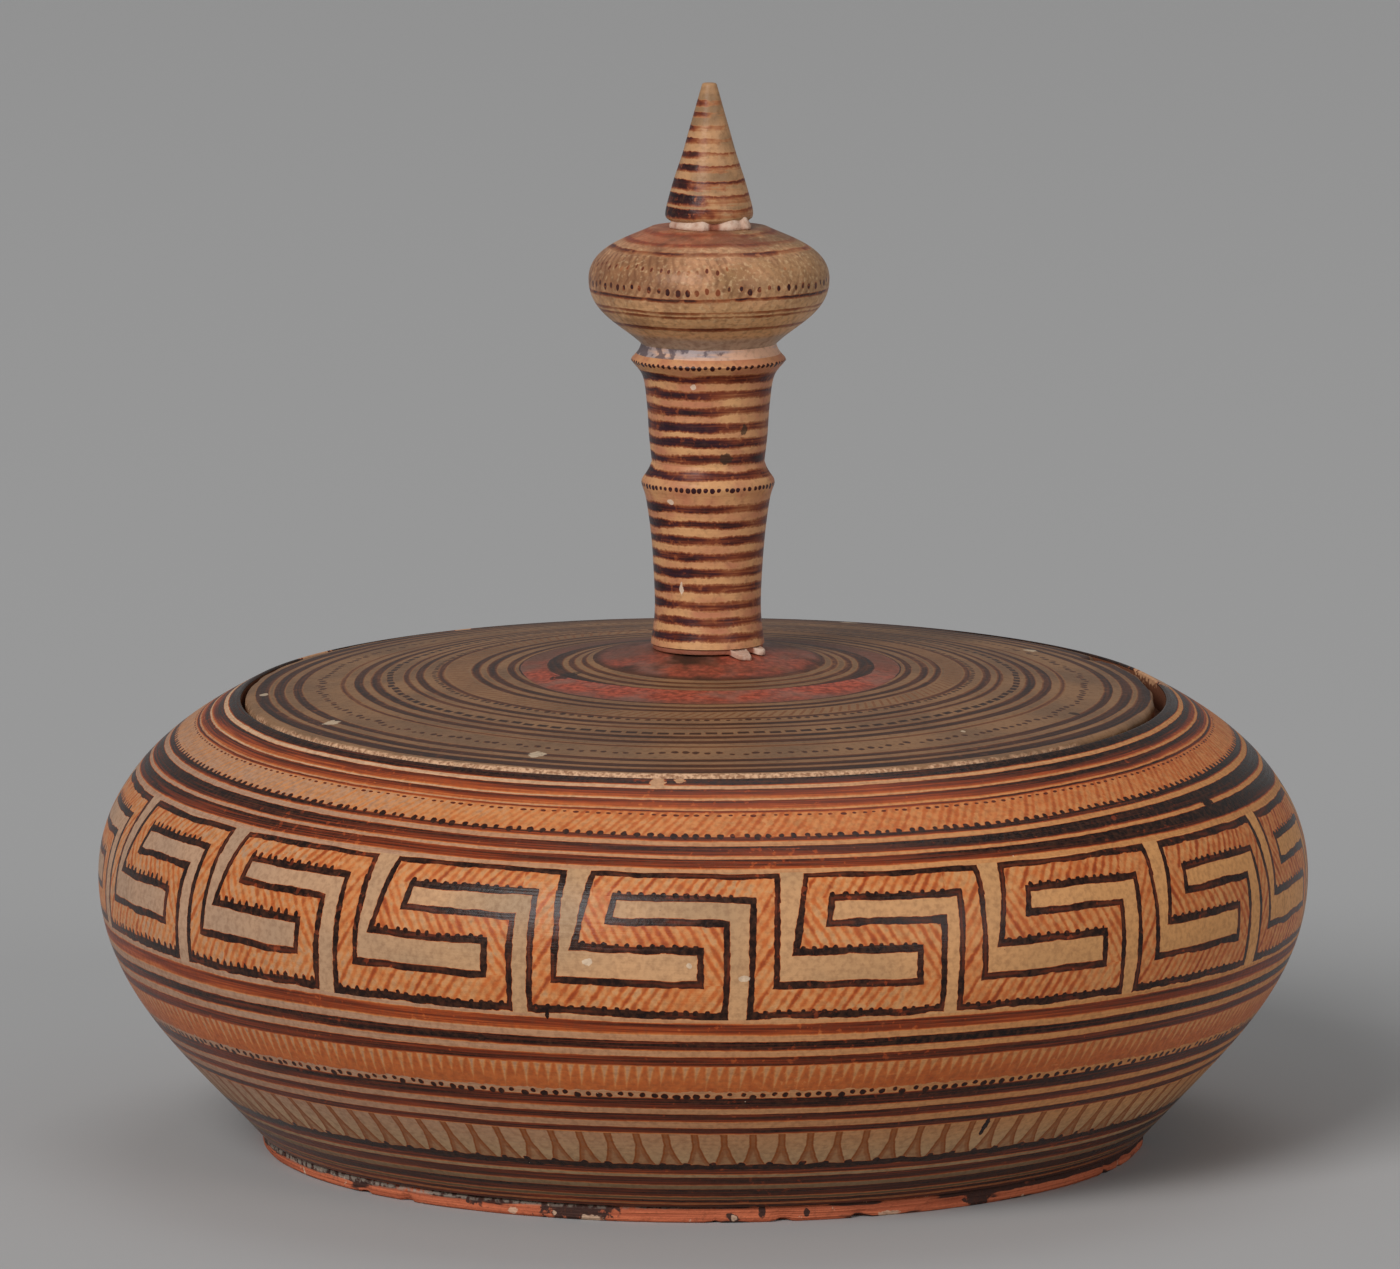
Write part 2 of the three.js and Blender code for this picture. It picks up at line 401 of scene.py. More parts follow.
bowl_outline = laid_out(
    *underside,
    *outside[:-1],
    *corner(mouth_radius + lip_rounding, rim_height - 1.06, lip_rounding, 63, 180, 5),
    *stretch((mouth_radius, rim_height - 2), (mouth_radius, ledge_height + 0.5), 4),
    (mouth_radius - 0.15, ledge_height + 0.15),
    *stretch((mouth_radius - 0.5, ledge_height), (ledge_inner, ledge_height), 5),
    *corner(ledge_inner, ledge_height - ledge_rounding, ledge_rounding, 90, 180, 3),
    *corner(ledge_inner, shoulder_height + ledge_rounding, ledge_rounding, 180, 270, 3),
    *inside,
    *curve(
        inside[-1],
        (inside[-1][0] - 5, floor_height + 1.2),
        (floor_edge[0] + 4, floor_height),
        floor_edge,
        5,
    )[1:],
    14,
    (0, floor_height),
)
bowl_shape = thrown(bowl_outline, 320, len(underside))
wall_end = 118.6  # how far the outside runs from its foot, over the lip
left_slant = 2.6  # so far the upper paint stands higher at the left, and lower at the right
right_slant = 1.3
ridge_pitch = 7.5  # the ridges that throwing left inside
along = bowl_shape.verts.layers.float["along"]
for vertex, x, y, z, radius in points(bowl_shape):
    way = vertex[along]
    ridge = 0
    if way > wall_end + 20 and z > floor_height - 1:
        turn = math.atan2(y, x) / (2 * math.pi)
        ridge = 0.3 * math.sin(2 * math.pi * (way / ridge_pitch + turn)) * eased(0, 12, way - wall_end - 20)
    aslant = left_slant if x < 0 else right_slant
    drop = 2 * eased(0.4, 0.9, x / belly_radius) * eased(84, 97, way)
    vertex[along] += (aslant * x / belly_radius * eased(42, 62, way) - drop) * (1 - eased(100, 114, way))
    swell = 0.5 * uneven(x, y, z, 45) * eased(6, 20, z) * (1 - eased(76, 84, z))
    if radius > 1:
        scale = (radius + ridge * 0.5 - swell) / radius
        x *= scale
        y *= scale
    vertex.co = Vector((x, y, leaned(y, z))) * MM

iron_slip = [
    # how thick the slip lies, and its colour: an orange wash where thin, black where thick
    (0.1, 212, 142, 86),
    (0.22, 198, 108, 54),
    (0.36, 168, 76, 34),
    (0.5, 132, 54, 26),
    (0.66, 94, 38, 20),
    (0.82, 54, 25, 16),
    (1, 27, 15, 12),
]
bowl = Finish("painted_bowl_slip", belly_radius)
turn = bowl.turn
along = bowl.along
way = along + bowl.drift(38, 1, 0.9) + bowl.drift(2.6, 2, 0.35)
fine = bowl.streaks(26, 0.42, 3).rise(0.3, 0.7)
broad = bowl.streaks(70, 5, 2) - 0.5
low_rings = [
    # from, to, and how thick at the lower and at the upper edge
    (-2.4, 0.9, 0.84, 0.86),
    (1.5, 2.5, 0.9, 0.9),
    (3.7, 6.2, 0.8, 0.92),
    (7.8, 10.4, 0.68, 0.84),
    (11.6, 13.4, 0.66, 0.7),
    (25.8, 27.6, 0.8, 0.76),
    (29.7, 32, 0.62, 0.86),
    (33.8, 36.8, 0.7, 0.92),
    (45.6, 47.9, 0.72, 0.66),
    (49.6, 51.6, 0.92, 1),
    (53.2, 55.7, 0.48, 0.68),
]
high_rings = [
    (89.6, 92.6, 0.54, 0.82),
    (93.7, 96.8, 0.6, 0.86),
    (98.4, 99.8, 0.66, 0.8),
    (106.9, 107.6, 0.5, 0.6),
    (108.1, 110.7, 0.28, 0.7),
    (111.3, 114.3, 0.3, 0.8),
    (115.6, 118.9, 0.96, 1),
]
key_low = 56.6
key_high = 88.3
side = bowl.x / belly_radius
# Painted shade: the upper rings are laid darker towards both sides of the shoulder, where it turns away
# from the light.
rings = bowl.rings(way, key_high, 120, high_rings) * (1 + abs(side + 0.1).rise(0.3, 0.75) * 0.5)
rings = rings.most(bowl.rings(way, -3, key_low, low_rings))
rings = rings * (0.66 + fine * 0.52 + broad * 0.6 + side * 0.1)

# An orange wash between the upper rings, with slanting strokes dabbed over it
hatch = turn * 374 - way * 0.34 + bowl.drift(8, 1, 0.6)
grainy = bowl.mottle(2, 2) - 0.5
stroke = abs(hatch.share() - 0.5) + grainy * 0.55
in_hatch = (way > 99.2) * (way < 107)
dabbed = (1 - stroke.rise(0, 0.42)) * (0.04 + bowl.chance(hatch.whole()) * 0.12)
washes = (dabbed + 0.14 + broad * 0.16 - grainy * 0.14) * in_hatch * (0.4 + side.rise(-0.75, -0.1) * 0.6)

# The lower orange band: pale tongues of bare ground hang into it from its top
tongue_count = 330
tongue_top = 45.6
tongue = turn * tongue_count + (tongue_top - way) * 0.05
tongue_length = 3.2 + bowl.chance(tongue.whole()) * 2.8
tongue_taper = 1 - (tongue_top - way) / tongue_length
tongue_side = abs(tongue.share() - 0.5) * 2.42 + grainy * 0.8
tongues = 1 - (tongue_side - tongue_taper * 0.74).rise(-0.4, 0.45)
in_tongue = (way + grainy * 1.6 > 38.7) * (way < tongue_top)
washes += (0.26 - tongues * 0.2 + broad * 0.14 - grainy * 0.2) * in_tongue

# The row of leaves above the foot: pale leaves hang point down between brown strokes
leaf_low = 14.6
leaf_high = 25.8
leaf_count = 118
leaf = abs((turn * leaf_count + way * 0.012).share() - 0.5) + grainy * 0.08
height = (way - leaf_low) / (leaf_high - leaf_low)
edge = leaf - 0.38 * (height * 1.6).least(1).most(0) ** 0.6
in_leaf = (way > leaf_low) * (way < leaf_high)
between = edge.rise(-0.03, 0.02) * (0.8 - edge.rise(0.14, 0.24) * 0.34)
leaf_side = (1 - abs(edge - 0.02).rise(0.01, 0.06)) * 0.3
leaves = (between + leaf_side - grainy * 0.3) * in_leaf
wave = way + bowl.drift(4, 2, 1.7)
wavy = 1 - abs(wave - 14.1).rise(0.75, 1.05)
wavy = wavy.most(bowl.dots(leaf_count, way - 14.9, 1.1, 5.9, 0.8))

# Rows of dots, dabbed on after the rings
dots = bowl.dots(290, way - 100.0, 0.8, 2.43, 0.3, tall=1.25)
dots = dots.most(bowl.dots(334, way - 37.6, 0.84, 2.4, 1.0))
dots = dots.most(bowl.dots(300, way - 106.2, 0.36, 2.3, 0.15, wide=1.8) * 0.74)

# The key: a running meander of eighteen units, outlined in black and filled with hatching
key_units = 18
key_pitch = 45.0
key_start = -2.9  # the cell starts this far left of the upright's left side
key_phase = 0.8504
squeeze = 1.15  # upright outlines are this much thinner than level ones
key_top = 87.3
upright = (0, 5.1, 57.6, key_top, 0)
low_arm = (0, 40.2, 57.6, 64.1, 0)
top_arm = (12.0, 50.3, 81.7, key_top, 0)
top_arm_before = (12.0 - key_pitch, 50.3 - key_pitch, 81.7, key_top, 0)
right_short = (34.9, 40.2, 57.6, 76.5, 0)
middle_arm = (12.0, 40.2, 70.9, 76.5, 0)
left_short = (8.8, 14.8, 70.9, key_top, 0.17)


def arm_distance(unit, up, arms):
    """How far a point is outside the nearest of these arms, below 0 inside. An arm goes from
    left to right and from low to high, and its sides lean so far for each millimetre up."""
    nearest = None
    for left, right, low, high, lean in arms:
        middle = unit - (up - low) * lean if lean else unit
        side = abs(middle - (left + right) / 2) * squeeze - (right - left) / 2 * squeeze
        level = abs(up - (low + high) / 2) - (high - low) / 2
        edge = side.most(level)
        nearest = nearest.least(edge) if nearest else edge
    return nearest


cell = turn * key_units + key_phase
which = cell.whole()
sway = bowl.chance(which) - 0.5 + (bowl.chance(which + 0.5) - 1.4) * (along - 72) * 0.05
unit = cell.share() * key_pitch + key_start + sway + bowl.drift(14, 1, 1.2)
up = along + bowl.drift(11, 1, 1.1)
back_arms = arm_distance(unit, up, (right_short, middle_arm, left_short))
on_arms = arm_distance(unit, up, (upright, low_arm, top_arm, top_arm_before))
arms = on_arms.least(back_arms)
inside_key = arms < 0
ragged = bowl.drift(1.6, 2, 0.5) + bowl.drift(5, 1, 0.8)
knobbly = 1 - abs(((up + ragged * 2.4) / 2.3).share() - 0.5).rise(0.1, 0.35)
outline = 1 - (abs(arms) + ragged * 0.8 - knobbly * 0.1).rise(0.56, 0.84)
brownish = bowl.mottle(10, 2).rise(0.42, 0.6)
line_core = 1 - abs(arms + bowl.drift(8, 1, 1.8)).rise(0.1, 0.5)
line_depth = 0.98 - brownish * (0.14 + line_core * 0.16)
back = (back_arms < 0) * (on_arms > 0)
lean = (unit - (1 - 2 * back) * up * 0.62) / 2.3
key_stroke = abs(lean.share() - 0.5) + grainy * 0.6
key_stroke = (1 - key_stroke.rise(0, 0.38)) * (0.06 + bowl.chance(lean.whole()) * 0.24)
fill = key_stroke + 0.12 - grainy * 0.18 + bowl.drift(16, 2, 0.18)
# Painted sheen: the key is paler at the left, its fill fainter and its ground greyed.
left_painted_sheen = (side * -1).rise(0.3, 0.9)
fill = fill * (1 - left_painted_sheen * 0.2)
tall = 1 + (side * -1).rise(0.4, 0.7) * 0.9
teeth = None
for level, left, right in ((81.7, 16, 46), (70.9, 9.5, 34.6), (57.6, 0.5, 40)):
    here = (up > level) * (abs(unit - (left + right) / 2) < (right - left) / 2)
    row = bowl.dots(342, up - level - 0.6, 0.76, 2.37, 0.4, tall=tall) * here
    teeth = teeth.most(row) if teeth else row
in_key = (along > key_low) * (along < key_high)
key = (fill * inside_key).most(outline * line_depth).most(teeth * 0.96) * in_key

# Places where the slip is lost, stray dabs and chips, each so many degrees right of the front
lost_slip = [
    (-5.3, 114.4, 119.6, 4.6),
    (-2.8, 116.4, 118.4, 3.2),
    (104, 113.8, 119.8, 32),
    (-121, 115, 119.8, 18),
    (-147.5, 115.5, 119.8, 7),
]
stray_dabs = [
    (-20.9, 49.9, 51.6, 2.6),
    (-14.3, 55.2, 58, 0.9),
    (31.5, 20, 27, 1.6),
    (62, 92, 94.6, 5),
]
key_chips = [
    (-10.4, 67.2, 68.9, 2.4),
    (-1.3, 67.5, 68.7, 1.4),
    (3.7, 64.9, 66.1, 2.6),
]
lost = bowl.marks(along, lost_slip)
paint = rings.most(washes).most(wavy * 0.96).most(dots * 0.92).most(key)
paint = paint.most(bowl.marks(along, stray_dabs))
worn = (bowl.mottle(1.5, 3) + bowl.drift(50, 2, 0.6)).rise(0.66, 0.76)
covered = (along > -1.2) * (along < wall_end)
paint = paint * (1 - worn * 0.34) * (1 - lost) * covered

patches = bowl.mottle(24, 3)
# Painted light on the pale ground: greyer and pinker at the left as a painted sheen, warmer orange at the
# right as painted warm light.
pale_ground = bowl.blend(side.rise(-0.9, 0.8), tint(186, 148, 122), tint(212, 146, 86))
pale_ground = pale_ground.coated(along.rise(109, 112) * (0.5 - side * 0.6), 226, 186, 148)
pale_ground = pale_ground.coated(fine * 0.34, 166, 104, 66)
key_ground = bowl.blend(patches.rise(0.3, 0.7), tint(206, 158, 114), tint(172, 138, 104))
# Painted warm light: the key's ground turns brighter orange towards the right.
key_ground = key_ground.coated(side.rise(-0.2, 1) * 0.7, 226, 156, 86)
# Painted sheen greys the key's ground at the left.
key_ground = key_ground.coated(left_painted_sheen * 0.6, 186, 152, 130)
leaf_ground = bowl.blend(patches.rise(0.3, 0.7), tint(200, 166, 124), tint(174, 142, 104))
ground = bowl.blend(in_key, pale_ground, key_ground)
ground = bowl.blend(1 - along.rise(12, 28), ground, leaf_ground)
ground = ground.coated(leaves, 148, 78, 30)
# Darker, olive ground towards the foot: partly the clay's own greyer tone there, partly painted shade on
# the lower body.
ground = ground.coated(1 - along.rise(1, 14), 108, 84, 58)
bare = bowl.blend(patches, tint(168, 98, 64), tint(186, 116, 78))
# Painted shade: the first stretch inside the mouth, under the lid, is darkened to stand for its shadow.
mouth_painted_shade = (along > wall_end) * (1 - along.rise(wall_end + 6, wall_end + 16))
bare = bare.coated(mouth_painted_shade * 0.75, 74, 48, 36)
ground = bowl.blend(covered, bare, ground)
ground = ground.coated(lost, 198, 150, 112)
colour = bowl.slip(paint, ground, iron_slip)
# Pale specks: partly chips, partly painted glints of light.
pale_specks = bowl.specks(5, 0.22, 0.4).most(bowl.marks(along, key_chips))
colour = colour.coated(pale_specks * 0.8, 224, 200, 172)
dark_specks = bowl.specks(2.6, 0.2, 0.4) * covered
colour = colour.coated(dark_specks * 0.55, 58, 38, 30)
dirt = bowl.mottle(1.1, 3)
colour = colour.coated(dirt.rise(0.36, 0.76) * 0.34, 104, 62, 40)
# Painted shade: everything painted darkens towards the foot, where the lower body turns away from the
# light.
colour = colour.coated((1 - along.rise(6, 20)) * covered * 0.26, 58, 42, 30)
gloss = 0.46 - paint * 0.16 + (dirt - 0.5) * 0.24 + (1 - covered) * 0.3
relief = dirt * 0.5 + fine * 0.15
finished("bowl", bowl_shape, "vessel", bowl.complete(colour, gloss, relief))

# The foot: a low ring of the same clay luted under the bowl. Its edge is bare of paint, orange
# and rubbed, with runs of black slip and chips knocked out of it where it stands.
foot_corner = 0.8
foot_outline = laid_out(
    (foot_inner + foot_corner, 0),
    8,
    *corner(foot_radius - foot_corner, foot_corner, foot_corner, -90, 0, 5),
    *stretch((foot_radius, foot_corner), (foot_radius, foot_height - foot_corner), 3)[1:],
    *corner(foot_radius - foot_corner, bowl_foot_height - foot_corner, foot_corner, 0, 90, 5),
    4,
    (foot_inner, bowl_foot_height),
    3,
    *corner(foot_inner + foot_corner, foot_corner, foot_corner, 180, 270, 3),
)
foot_shape = thrown(foot_outline, 480, 0)
for vertex, x, y, z, radius in points(foot_shape):
    outer = eased(foot_radius - 4, foot_radius - 1, radius)
    knock = eased(0.62, 0.8, uneven(x, y, z, 5)) * outer * (1 - eased(1.6, 3, z))
    rub = 0.35 * uneven(x + 50, y, z, 9) * outer
    scale = (radius - 0.9 * knock - rub) / radius
    vertex.co = Vector((x * scale, y * scale, z + 0.5 * knock * (1 - eased(0, 1.5, z)))) * MM

foot = Finish("bare_foot_clay", foot_radius)
fine = foot.streaks(24, 0.4, 3).rise(0.3, 0.7)
blotch = foot.streaks(17, 3, 3)
foot_marks = [
    # slip that ran down: degrees right of the front, from and to this high, and how wide
    (-16, -1, 6, 17),
    (-30, 1.2, 6, 5),
    (3.6, 0.2, 2.2, 3),
    (7.3, 0.8, 4, 1.6),
    (13, 0.6, 2.6, 1.4),
    (37, -1, 5, 7),
]
foot_chips = [
    (-14.2, -0.6, 1.3, 5.4),
    (3.8, 0.5, 1.9, 1.5),
    (-24.5, 0.4, 1.8, 3),
    (24, -0.4, 1.2, 5),
]
clay = foot.blend(fine, tint(166, 84, 56), tint(204, 112, 76))
slipped = (foot.z + abs(foot.x) * 0.013).rise(2.7, 3.4)
black = (blotch - 0.03 + slipped * 0.2).rise(0.55, 0.6).most(foot.marks(foot.z, foot_marks))
colour = foot.blend(black * 0.94, clay, tint(46, 36, 34))
pale = foot.mottle(3, 3).rise(0.66, 0.7).most(foot.marks(foot.z, foot_chips))
colour = colour.coated(pale * 0.8, 214, 178, 150)
dusty = slipped * (foot.x * -1).rise(-20, 40) * foot.mottle(1.3, 3).rise(0.4, 0.56)
colour = colour.coated(dusty * 0.75, 160, 146, 132)
grit = foot.mottle(0.9, 3)
colour = colour.coated(grit.rise(0.5, 0.8) * 0.4, 110, 62, 44)
relief = grit + fine * 0.5
foot_material = foot.complete(colour, grit * 0.3 + 0.62, relief, 0.3)
finished("foot_ring", foot_shape, "vessel", foot_material)

# The lid's disc: a low cone that sits in the mouth, dull and greyed, painted with rings in dark
# slip, with a red band round the knob. Its edge is worn to bare clay and chipped at the right,
# and clay is drawn up round a vent hole for the knob's foot.
lid_slope = 0.1065
lid_edge_rounding = 1.4
lid_room = 1.3
lid_radius = mouth_radius - lid_room
lid_underside = ledge_height + seam
flange_room = 1.6
flange_width = 4.6
flange_outer = ledge_radius - flange_room
flange_inner = flange_outer - flange_width
vent_radius = 5
boss_height = 1.9
boss_flare = 11
stem_foot_radius = 12.2
stem_fill = 0.9
slope_angle = math.degrees(math.atan(lid_slope))
flare_foot = stem_foot_radius + boss_flare
rounding_radius = lid_radius - lid_edge_rounding
rounding_height = rim_height - lid_edge_rounding


def lid_top(radius):
    """The height of the lid's low cone at this radius."""
    return rim_height + lid_slope * (lid_radius - radius)


stem_fill_height = lid_top(stem_foot_radius) + boss_height - stem_fill - seam
boss_top = stem_fill_height - seam / 2
under_flare = lid_top(flare_foot) - lid_thickness
flange_seat = lid_underside + lid_slope * (lid_radius - flange_inner) * 0.5
lid_below = [
    *laid_out((vent_radius, under_flare), 26, (flange_inner, flange_seat)),
    *stretch((flange_inner + flange_width / 2, lid_underside), (lid_radius - seam, lid_underside), 6),
    *stretch((lid_radius, lid_underside + seam), (lid_radius, rounding_height), 6),
]
lid_outline = laid_out(
    *lid_below,
    *corner(rounding_radius, rounding_height, lid_edge_rounding, 0, 90 - slope_angle, 6),
    62,
    *curve(
        (flare_foot, lid_top(flare_foot)),
        (stem_foot_radius + 0.5 * boss_flare, lid_top(stem_foot_radius + 0.5 * boss_flare)),
        (stem_foot_radius + 0.16 * boss_flare, boss_top - 0.3 * boss_height),
        (stem_foot_radius, boss_top),
        12,
    ),
    4,
    (vent_radius, boss_top),
    3,
    (vent_radius, under_flare),
)
edge_chips = [
    # where round the lid, in degrees from the right, how wide and how deep
    (26.5, 1.5, 3.4),
    (24.2, 1.8, 0.8),
    (3, 9, 0.9),
    (14, 7, 0.5),
    (-9, 6, 0.5),
]
lid_shape = thrown(lid_outline, 480, len(lid_below) + 3)
for vertex, x, y, z, radius in points(lid_shape):
    edge = eased(lid_radius - 6, lid_radius - 1.2, radius)
    if edge > 0:
        lost = 0.7 * edge * uneven(x, y, 0, 6) - 0.25 * edge
        for where, width, depth in edge_chips:
            ragged = 0.7 + 0.6 * uneven(x, y, z, 1.5)
            lost += depth * ragged * edge * (1 - eased(0.5, 1.2, away_from(where, width, x, y)))
        seat = 0.35 * edge * x / lid_radius  # it sits a little to the left in its seat
        scale = (radius - max(lost, 0) - seat) / radius
        x *= scale
        y *= scale
    top = eased(lid_underside + 2, lid_underside + 3, z) if radius > vent_radius + 1 else 0
    dip = 0.6 * eased(flare_foot - 1, flare_foot + 4, radius) * (1 - eased(34, 60, radius))
    z -= (0.22 * uneven(x, y, 0, 30) + dip) * top
    vertex.co = Vector((x, y, z + mouth_lean * y)) * MM

lid_slip = [
    (0.1, 152, 110, 74),
    (0.3, 126, 80, 52),
    (0.5, 94, 56, 40),
    (0.75, 64, 42, 34),
    (1, 42, 30, 28),
]
lid = Finish("painted_lid_slip", lid_radius)
ring = lid.radius + lid.drift(30, 1, 0.8) + lid.drift(2.5, 2, 0.35)
ring -= (lid.x - lid.y) * 0.05 * (1 - lid.radius.rise(30, 60))
turn = lid.turn
fine = lid.streaks(22, 0.4, 3).rise(0.3, 0.7)
broad = lid.streaks(50, 5, 2) - 0.5
lid_rings = [
    # from, to, and how thick at the inner and at the outer edge
    (21.8, 24.7, 0.8, 0.66),
    (26.2, 27.4, 0.64, 0.6),
    (28.9, 30.4, 0.64, 0.7),
    (31.7, 35.2, 0.84, 0.96),
    (40.2, 41, 0.9, 0.9),
    (41.9, 43.4, 0.76, 0.84),
    (45.6, 47.3, 0.84, 0.8),
    (48.8, 50.3, 0.84, 0.8),
    (55.8, 57, 0.66, 0.74),
    (59.9, 61.6, 0.84, 0.84),
    (63, 64.1, 0.7, 0.7),
    (69.2, 71.1, 0.84, 0.9),
    (72.8, 74.6, 0.8, 0.86),
    (76.6, 77.5, 0.56, 0.66),
    (85.9, 87.8, 0.8, 0.84),
    (89.7, 91.9, 0.84, 0.9),
    (93.1, 95.9, 0.8, 1),
]
paint = lid.rings(ring, 12, 98, lid_rings) * (0.62 + fine * 0.42 + broad * 0.5)
dash_step = turn * 126
dash = abs(dash_step.share() - 0.5)
dash_up = abs(ring - 67.2 + (lid.chance(dash_step.whole()) - 0.5) * 0.5)
dashes = (1 - dash.rise(0.3, 0.42)) * (1 - dash_up.rise(0.5, 0.85)) * 0.85
battlement = lid.dots(170, ring - 57.6, 0.75, 2.1) * 0.75
small_strokes = abs((turn * 150 + ring * 0.3).share() - 0.5)
in_tan = (ring > 51) * (ring < 55.2)
small_strokes = (1 - small_strokes.rise(0.1, 0.28)) * in_tan * 0.26
wavy_dots = lid.dots(210, ring - 82 + lid.drift(12, 1, 2.5), 0.85, 2.4, 1.2) * 0.7
paint = paint.most(dashes).most(battlement).most(small_strokes).most(wavy_dots)
glaze = (ring < 24.8) * (0.56 + lid.drift(6, 3, 1.3))
paint = paint.most(glaze)
in_front = (lid.y * -1).rise(8, 34)
red_band = (ring + in_front * 3.3 > 35.1) * (ring - in_front * 2 < 40.7)
top_side = lid.along > -1.6
worn = (lid.mottle(1.8, 3) + lid.drift(40, 1, 0.5)).rise(0.64, 0.76)
wear_reach = ring - lid.y * 0.009 - abs(lid.x) * 0.011
edge_wear = (wear_reach + lid.drift(1.6, 3, 1.6)).rise(96.7, 97.5)
paint = paint * (1 - worn * 0.4) * (1 - edge_wear) * top_side

golden = lid.mottled(20, (150, 112, 80), (126, 96, 72))
granules = lid.mottle(0.8, 2).rise(0.35, 0.68)
wear_colour = lid.blend(granules, tint(228, 182, 144), tint(156, 112, 82))
pale = lid.blend(edge_wear, golden, wear_colour)
pale = lid.blend(top_side, tint(160, 104, 72), pale)
colour = lid.slip(paint, pale, lid_slip)
brick = lid.mottled(1.4, (192, 92, 68), (140, 66, 50))
brick = brick.coated(lid.mottle(10, 3).rise(0.45, 0.68) * 0.7, 142, 108, 94)
towards_back = (lid.y / 38 + lid.drift(14, 2, 1.2)).rise(-0.7, 0.5)
brick = brick.coated(towards_back.most(ring.rise(38, 43) * 0.6), 112, 78, 64)
smudged = lid.mottle(9, 3).rise(0.34, 0.56) * (1 - ring.rise(22, 24.6)) * 0.85
colour = lid.blend(red_band.most(smudged) * top_side, colour, brick)
smears = lid.marks(ring, [(-62, 30, 37.5, 14), (67.4, 83.8, 86.4, 2.6)])
colour = colour.coated(smears * 0.85, 52, 38, 34)
lid_chips = [
    # degrees right of the front, from and to this far from the middle, and how wide
    (-61.9, 86.4, 90.4, 4.6),
    (-23.5, 85, 89, 4.4),
    (-87.7, 93.2, 95, 3),
    (43.2, 78.4, 80, 1.6),
    (122.8, 83.6, 86.8, 4),
    (160, 94, 96.8, 5),
]
pale_specks = lid.specks(8, 0.26, 0.4).most(lid.marks(ring, lid_chips))
colour = colour.coated(pale_specks * 0.8, 214, 190, 160)
dirt = lid.mottle(1.2, 3)
colour = colour.coated(dirt.rise(0.45, 0.8) * 0.3, 70, 52, 42)
gloss = 0.5 - paint * 0.1 + (dirt - 0.5) * 0.25
relief = dirt * 0.6 + fine * 0.15 - edge_wear * granules * 0.8
finished("lid_plate", lid_shape, "lid", lid.complete(colour, gloss, relief))

# The flange: a plain ring of unpainted clay luted under the disc. It keeps the lid in the
# middle of the mouth.
flange_depth = 7
flange_top = lid_underside - seam / 2
flange_rounding = flange_width / 4
flange_foot = flange_top - flange_depth
flange_outline = laid_out(
    (flange_inner, flange_top),
    5,
    *corner(flange_inner + flange_rounding, flange_foot + flange_rounding, flange_rounding, 180, 270, 5),
    *corner(flange_outer - flange_rounding, flange_foot + flange_rounding, flange_rounding, 270, 360, 5),
    5,
    (flange_outer, flange_top),
    (flange_inner, flange_top),
)
flange_shape = thrown(flange_outline, 256)
for vertex, x, y, z, radius in points(flange_shape):
    swell = 0.4 * uneven(x, y, z, 14) * (1 - eased(flange_top - 2, flange_top, z))
    vertex.co = Vector((x, y, z + swell + mouth_lean * y)) * MM
flange = Finish("bare_clay", flange_outer)
fine = flange.streaks(30, 0.8, 3)
clay = flange.mottled(14, (178, 116, 78), (196, 138, 98))
grain = flange.mottle(1, 3)
clay = clay.coated(grain.rise(0.5, 0.75) * 0.35, 112, 72, 50)
relief = fine * 0.8 + grain * 0.6
flange_material = flange.complete(clay, fine * 0.2 + 0.7, relief, 0.25)
finished("lid_flange", flange_shape, "lid", flange_material)

# Plaster of an old repair under the stem: a thin bed that stays hidden, with a few lumps
# squeezed out at the right front. The knob was stuck back a little to the right of the middle.
plaster_bore = 6.5
plaster_lumps = [
    # where round the stem, in degrees from the right, how wide and how far out
    (-57, 10, 2.6),
    (-30, 8, 2),
]


def washer(inner, outer, foot, top, bulge):
    """The outline of a thin squeezed-out collar, its outer edge rounded."""
    middle = (foot + top) / 2
    half = (top - foot) / 2
    turns = [math.radians(-90 + 180 * i / 8) for i in range(9)]
    edge = [(outer + bulge * math.cos(a), middle + half * math.sin(a)) for a in turns]
    return laid_out((inner, foot), 3, *edge, 3, (inner, top), (inner, foot))


def squeezed_out(x, y, z, lumps):
    """How far the plaster stands out here, in millimetres."""
    out = 0
    for where, width, reach in lumps:
        out += reach * (1 - eased(0.4, 1.1, away_from(where, width, x, y))) * (0.5 + uneven(x, y, z, 3))
    return out


def aside(z):
    """How far the knob stands to the right of the lid's middle at this height."""
    return 0.95 + 0.35 * eased(108, 228, z)


plaster_foot = boss_top
stem_foot = stem_fill_height + stem_fill + seam / 2
plaster_shape = thrown(washer(plaster_bore, stem_foot_radius - 0.6, plaster_foot, stem_foot, 0.2), 144)
squeezed = plaster_shape.verts.layers.float.new("squeezed")
for vertex, x, y, z, radius in points(plaster_shape):
    outer = eased(stem_foot_radius - 1.5, stem_foot_radius - 0.7, radius)
    out = squeezed_out(x, y, z, plaster_lumps)
    vertex[squeezed] = out
    scale = (radius + out * outer) / radius
    vertex.co = Vector((x * scale + aside(z), y * scale, z - 0.32 * out * outer)) * MM
plaster = Finish("repair_plaster", stem_foot_radius)
grain = plaster.mottle(1.1, 3)
chalk = plaster.blend(plaster.mottle(3, 2).rise(0.35, 0.65), tint(198, 160, 138), tint(216, 188, 168))
chalk = chalk.coated(grain.rise(0.5, 0.75) * 0.5, 164, 116, 90)
hidden = 1 - plaster.node("Attribute", {"attribute_name": "squeezed"}, output="Fac").rise(0.3, 0.9)
chalk = chalk.coated(hidden * 0.9, 146, 78, 54)
plaster_material = plaster.complete(chalk, grain * 0.2 + 0.75, grain, 0.3)
finished("stem_fill", plaster_shape, "lid", plaster_material)

